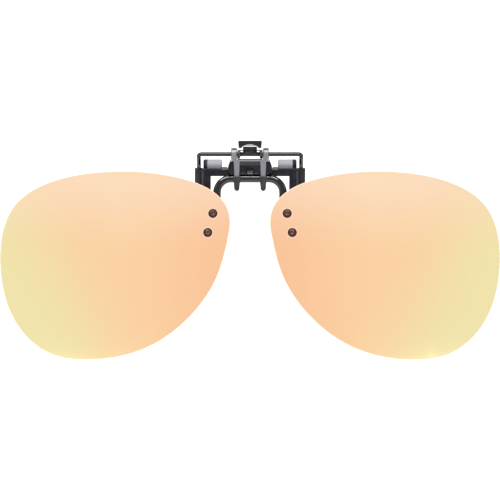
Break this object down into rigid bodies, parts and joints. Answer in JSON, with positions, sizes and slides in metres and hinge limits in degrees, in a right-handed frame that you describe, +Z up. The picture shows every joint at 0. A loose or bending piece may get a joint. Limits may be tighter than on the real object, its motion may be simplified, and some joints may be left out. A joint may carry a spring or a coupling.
{
  "type": "clip on sunglasses",
  "caption": "Flip-up clip-on sunglasses: two rimless teardrop mirrored lenses on a bridge wire that turns in a spring clamp for the bridge of spectacles.",
  "frame": {"origin": "centre of the clamp plate's flat underside, where the top of the spectacles' bridge rests", "axes": "+X along the width, +Y to the rear towards the spectacles and the face, +Z up"},
  "size_m": [0.1382, 0.01, 0.0602],
  "materials": {
    "gunmetal_plate": "dark gunmetal plating, satin, slightly purple",
    "satin_nickel": "satin nickel plating on a small casting",
    "spring_steel": "bare spring steel",
    "black_wire": "gloss black enamel on wire",
    "black_rubber": "soft matte rubber",
    "black_plastic": "moulded, lightly textured",
    "mirror_lens": "rose gold mirror coating on a tinted lens",
    "rivet_metal": "burnished dark brown",
    "brown_plastic": "dark brown nylon"
  },
  "bodies": {
    "clip_body": {"clamp_plate": "gunmetal_plate", "bearing_block": "gunmetal_plate", "block_rivets": "spring_steel", "hinge_bracket": "satin_nickel", "detent_leaf": "spring_steel", "leg_sleeve_left": "black_rubber", "leg_sleeve_right": "black_rubber", "arm_sleeve_left": "black_rubber", "arm_sleeve_right": "black_rubber", "jaw_spring": "spring_steel"},
    "rear_jaw": {"jaw_wire": "black_wire", "jaw_sleeve_left": "black_rubber", "jaw_sleeve_right": "black_rubber", "finger_lever": "black_wire", "finger_pad": "black_plastic"},
    "lens_frame": {"bridge_wire": "black_wire", "lens_left": "mirror_lens", "lens_right": "mirror_lens", "lens_bushes_left": "brown_plastic", "lens_bushes_right": "brown_plastic", "lens_rivets_left": "rivet_metal", "lens_rivets_right": "rivet_metal", "rivet_washers_left": "spring_steel", "rivet_washers_right": "spring_steel"}
  },
  "joints": [
    {"name": "lens_flip", "type": "hinge", "parent": "clip_body", "child": "lens_frame", "pos_m": [0, -0.00395, -0.00215], "axis": [-1, 0, 0], "range_deg": [0, 120]},
    {"name": "jaw_open", "type": "hinge", "parent": "clip_body", "child": "rear_jaw", "pos_m": [0, -0.00435, 0.00461], "axis": [1, 0, 0], "range_deg": [0, 35], "stiffness_Nm_per_rad": 0.012, "springref_deg": -60.16, "deforming": ["jaw_spring"]}
  ]
}
